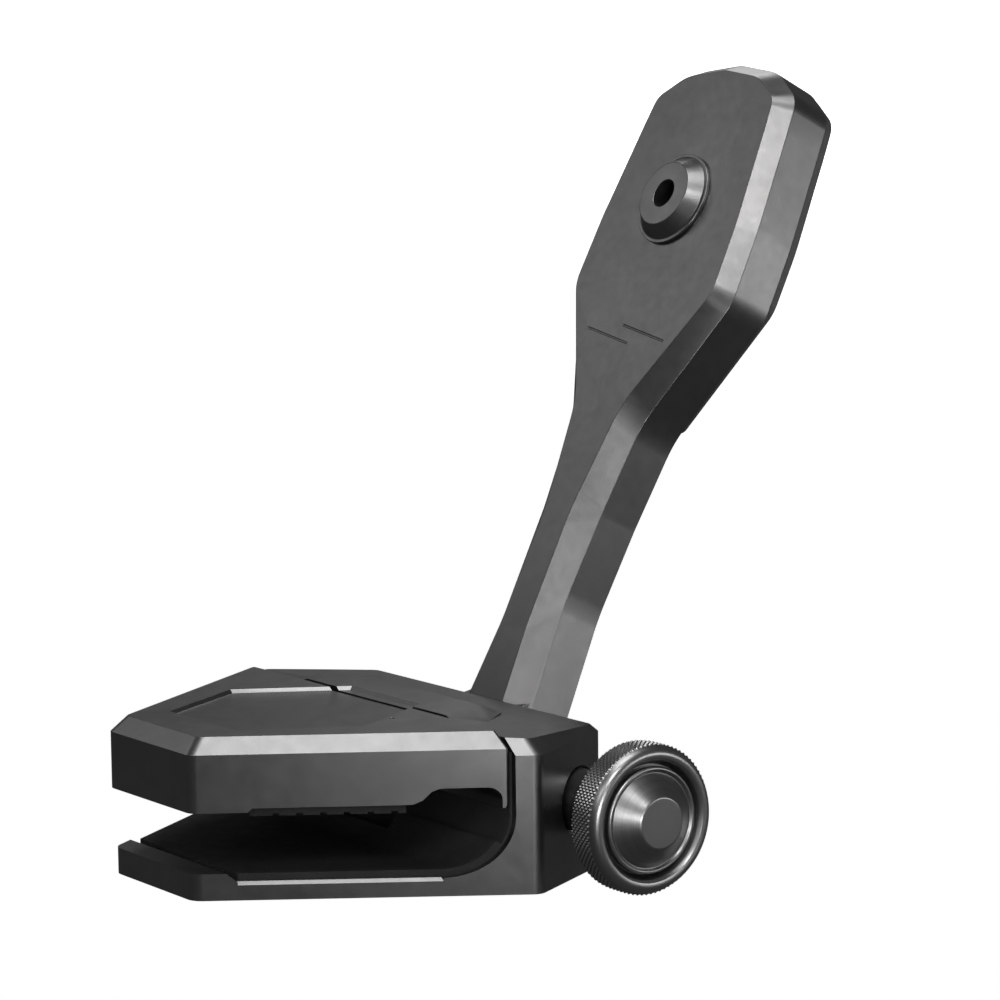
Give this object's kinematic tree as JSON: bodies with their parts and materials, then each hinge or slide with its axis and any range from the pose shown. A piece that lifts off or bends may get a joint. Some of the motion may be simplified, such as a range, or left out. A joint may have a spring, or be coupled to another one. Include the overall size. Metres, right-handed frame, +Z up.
{
  "type": "super clamp",
  "caption": "Flat wedge-jaw clamp with a side knob on a cross screw, and a leaning arm that ends in a paddle head with a drilled boss.",
  "frame": {"origin": "On the flat underside, on the clamp's centre plane, 44 mm behind the jaw tips.", "axes": "X runs along the knob's axis, positive towards the knob. Y runs from the jaw tips to the arm. Z is up."},
  "size_m": [0.1336, 0.1754, 0.1729],
  "materials": {
    "cast_body": "bead-blasted dark grey anodised casting",
    "jaw_body": "bead-blasted dark grey anodised casting",
    "arm_body": "bead-blasted dark grey anodised casting",
    "boss_metal": "turned and anodised dark grey",
    "knob_metal": "turned, knurled and anodised dark grey",
    "cap_metal": "turned and anodised dark grey",
    "pad_rubber": "moulded matt black",
    "cover_plastic": "moulded fine-textured black",
    "cover_steel": "black powder coat",
    "black_steel": "black oxide fasteners",
    "bright_steel": "ground",
    "inner_steel": "machined",
    "bearing_bronze": "machined bronze"
  },
  "bodies": {
    "frame": {"clamp_frame": "cast_body", "lower_pad": "pad_rubber", "bottom_cover": "cover_steel", "bottom_cover_screws": "black_steel", "guide_pins": "bright_steel", "return_springs": "bright_steel", "right_bushing": "bearing_bronze", "left_bushing": "bearing_bronze", "arm": "arm_body", "arm_screws": "black_steel", "boss_bushing": "boss_metal", "rear_cover": "cover_plastic", "rear_cover_screws": "black_steel"},
    "jaw": {"upper_jaw": "jaw_body", "upper_pad": "pad_rubber", "jaw_carriage": "inner_steel", "carriage_screws": "black_steel", "guide_bushes": "bearing_bronze"},
    "wedge": {"wedge_block": "inner_steel", "lead_nut": "bearing_bronze"},
    "knob": {"lead_screw": "inner_steel", "retaining_ring": "black_steel", "thrust_washer": "bright_steel", "knob_body": "knob_metal", "knob_bolt": "black_steel", "knob_pin": "bright_steel", "knob_cap": "cap_metal"}
  },
  "joints": [
    {"name": "wedge_slide", "type": "slide", "parent": "frame", "child": "wedge", "axis": [1, 0, 0], "range_m": [0, 0.018]},
    {"name": "knob_turn", "type": "hinge", "parent": "frame", "child": "knob", "pos_m": [0, 0.0342, 0.0167], "axis": [-1, 0, 0], "range_deg": [0, 1620]},
    {"name": "jaw_slide", "type": "slide", "parent": "frame", "child": "jaw", "axis": [0, 0, -1], "range_m": [0, 0.00656], "deforming": ["return_springs"]}
  ],
  "couplings": [
    {"joint": "knob_turn", "follows": "wedge_slide", "rad_per_m": 1570.8},
    {"joint": "jaw_slide", "follows": "wedge_slide", "ratio": 0.36397}
  ]
}
